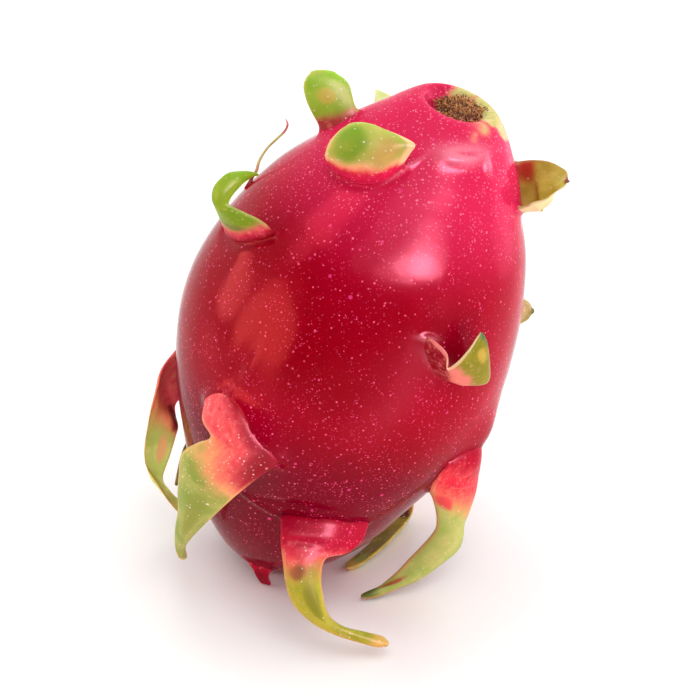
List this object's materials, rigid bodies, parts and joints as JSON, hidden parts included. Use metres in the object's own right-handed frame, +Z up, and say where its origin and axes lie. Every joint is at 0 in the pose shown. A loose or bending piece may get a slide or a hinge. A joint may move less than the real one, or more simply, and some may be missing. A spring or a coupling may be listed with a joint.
{
  "type": "dragon fruit",
  "caption": "Whole dragon fruit with a red-pink rind, leafy scales that turn green at their tips and a dry scar at the top, standing on its round end and leaning.",
  "frame": {"origin": "middle of the small flat spot at the bottom that the fruit rests on", "axes": "+Z up from the surface it stands on; +X the side the fruit leans to; -Y its front"},
  "size_m": [0.1006, 0.0944, 0.1304],
  "materials": {
    "rind": "waxy, semi-gloss",
    "scale_green": "waxy, satin",
    "scale_red": "waxy, satin",
    "dry_fibre": "dry, rough"
  },
  "bodies": {
    "root": {"fruit_body": "rind", "scale_front_broad": "scale_green", "scale_front_leg": "scale_green", "scale_right_leg": "scale_green", "scale_right_folded": "scale_green", "scale_right_cup": "scale_green", "scale_right_small": "scale_green", "scale_top_torn": "scale_green", "scale_top_paddle": "scale_green", "scale_left_curl": "scale_green", "scale_left_whisker": "scale_green", "scale_left_twisted": "scale_green", "scale_left_stick": "scale_green", "scale_back_right_floor": "scale_green", "scale_top_back": "scale_green", "scale_back_upper_right": "scale_green", "scale_back_left": "scale_green", "scale_back_middle": "scale_green", "scale_back_lower_left": "scale_green", "scale_back_leg": "scale_green", "scale_bottom_nub": "scale_red", "scar_plug": "dry_fibre"}
  },
  "joints": []
}
